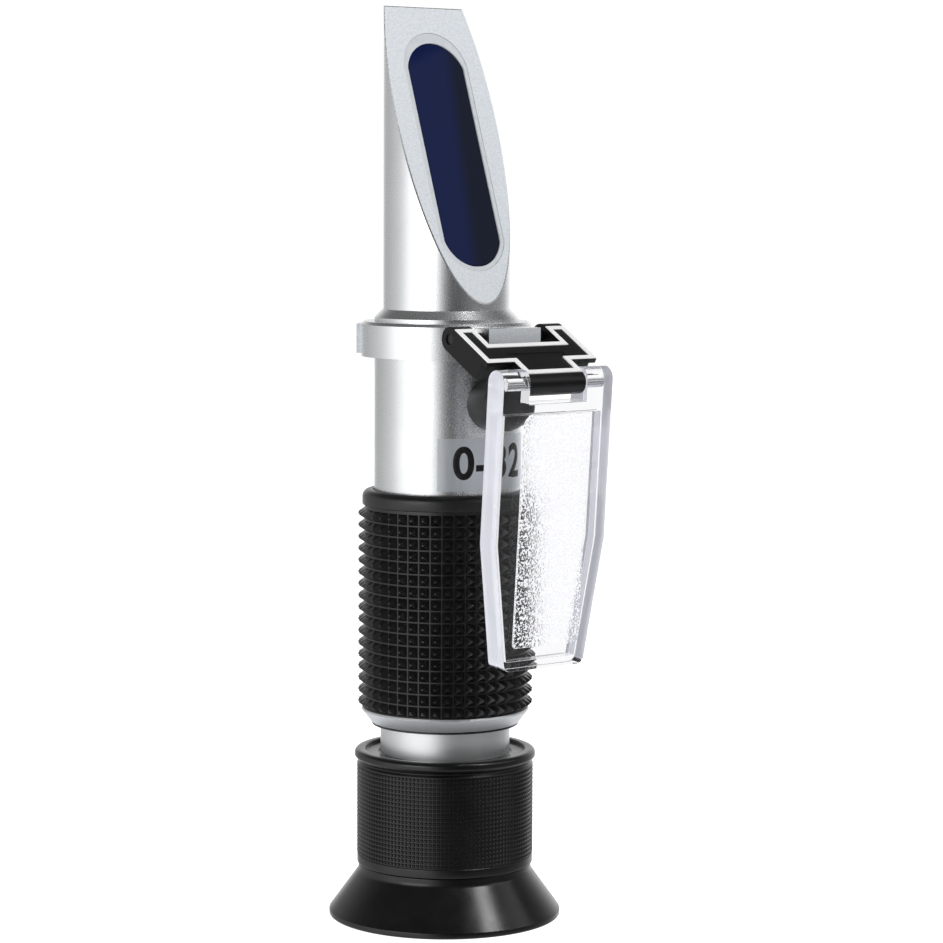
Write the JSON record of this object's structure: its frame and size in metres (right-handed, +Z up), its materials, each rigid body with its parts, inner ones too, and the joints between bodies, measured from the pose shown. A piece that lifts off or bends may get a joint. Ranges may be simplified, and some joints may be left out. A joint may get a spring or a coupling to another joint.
{
  "type": "hand-held refractometer",
  "caption": "Hand-held refractometer: round metal body with an oblique glass prism face, a hinged clear daylight plate, a toothed grip, a turning focus ring and a flared rubber eyecup.",
  "frame": {"origin": "centre of the eyecup's mouth, in the plane of its rim", "axes": "+Z up along the optical axis towards the prism, -Y towards the front, where the oblique face, the hinge and the daylight plate are, +X across the hinge"},
  "size_m": [0.041, 0.0511, 0.16],
  "materials": {
    "satin_aluminium": "satin, fine grain",
    "black_metal": "matt black",
    "black_rubber": "matt",
    "seal": "matt",
    "black_plastic": "moulded, semi-matt",
    "clear_acrylic": "clear, frosted face pad",
    "prism_glass": "polished, dark blue",
    "lens_glass": "polished",
    "steel": "turned",
    "brass": "turned",
    "label": "printed foil"
  },
  "bodies": {
    "body": {"prism_housing": "satin_aluminium", "measuring_prism": "prism_glass", "prism_seal": "seal", "housing_o_ring": "black_rubber", "body_tube": "satin_aluminium", "end_ring": "satin_aluminium", "end_gasket": "black_rubber", "grip_sleeve": "black_rubber", "label_plate": "label", "hinge_collar": "satin_aluminium", "collar_set_screw": "steel", "rear_pin": "black_metal", "calibration_cap": "black_rubber", "calibration_bush": "brass", "carriage_guide": "black_metal", "carriage_keeper": "black_metal", "return_spring": "steel", "light_baffle_lower": "black_metal", "light_baffle_upper": "black_metal", "eyepiece_tube": "satin_aluminium", "reticle_holder": "black_metal", "reticle_disc": "lens_glass", "reticle_ring": "black_metal"},
    "link": {"hinge_link": "black_plastic", "front_pin": "steel"},
    "plate": {"daylight_plate": "clear_acrylic"},
    "ocular": {"ocular_cell": "black_metal", "eye_lens": "lens_glass", "lens_spacer": "black_metal", "field_lens": "lens_glass", "lens_ring": "black_metal"},
    "focus": {"focus_ring": "black_plastic", "focus_retainer": "black_metal", "focus_o_ring": "black_rubber", "eyecup": "black_rubber"},
    "carriage": {"objective_carriage": "black_metal", "bimetal_strip": "brass", "strip_screws": "steel", "objective_cell": "black_metal", "objective_lens": "lens_glass", "objective_ring": "black_metal"},
    "screw": {"calibration_screw": "brass"}
  },
  "joints": [
    {"name": "link_pivot", "type": "hinge", "parent": "body", "child": "link", "pos_m": [0, -0.016, 0.1032], "axis": [-1, 0, 0], "range_deg": [0, 139.5]},
    {"name": "plate_pivot", "type": "hinge", "parent": "link", "child": "plate", "pos_m": [0, -0.02847, 0.096], "axis": [-1, 0, 0], "range_deg": [-8, 62.1]},
    {"name": "focus_slide", "type": "slide", "parent": "body", "child": "ocular", "axis": [0, 0, 1], "range_m": [-0.0015, 0.0015]},
    {"name": "focus_turn", "type": "hinge", "parent": "ocular", "child": "focus", "pos_m": [0, 0, 0.0196], "axis": [0, 0, 1], "range_deg": [-136, 136]},
    {"name": "carriage_slide", "type": "slide", "parent": "body", "child": "carriage", "axis": [0, 1, 0], "range_m": [-0.0005, 0.0005]},
    {"name": "calibration_turn", "type": "hinge", "parent": "carriage", "child": "screw", "pos_m": [0, -0.012, 0.0916], "axis": [0, 1, 0], "range_deg": [-361, 361]}
  ],
  "couplings": [
    {"joint": "focus_turn", "follows": "focus_slide", "rad_per_m": 1570.8},
    {"joint": "calibration_turn", "follows": "carriage_slide", "rad_per_m": 12566}
  ]
}
